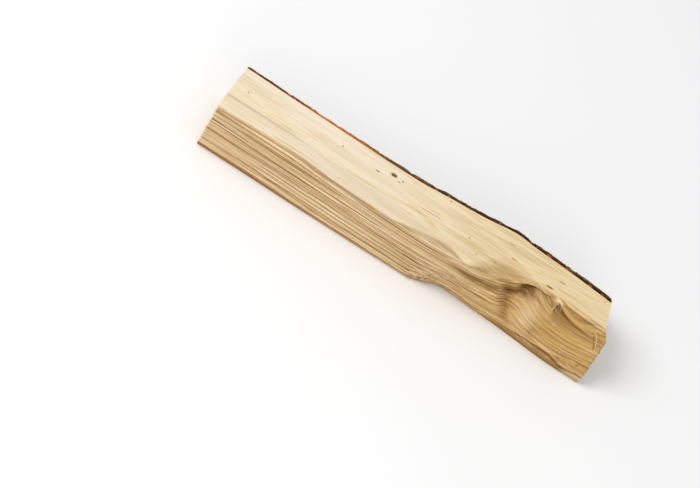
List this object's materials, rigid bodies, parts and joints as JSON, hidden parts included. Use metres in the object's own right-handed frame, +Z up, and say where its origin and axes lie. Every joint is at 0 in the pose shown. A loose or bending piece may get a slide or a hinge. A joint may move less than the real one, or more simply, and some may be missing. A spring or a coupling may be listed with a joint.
{
  "type": "split log",
  "caption": "Split firewood log with sawn ends, ringed split faces that bend round a knot, and a strip of rough bark along its back.",
  "frame": {"origin": "on the surface that the log lies on, under the middle of its bounding box", "axes": "+X along the log to the end with the knot, +Y from the ringed front face to the bark, +Z up"},
  "size_m": [0.4068, 0.09, 0.0573],
  "materials": {
    "split_wood": "raw split wood, dry and matt",
    "bark": "rough furrowed bark, matt"
  },
  "bodies": {
    "root": {"split_log": "split_wood"}
  },
  "joints": []
}
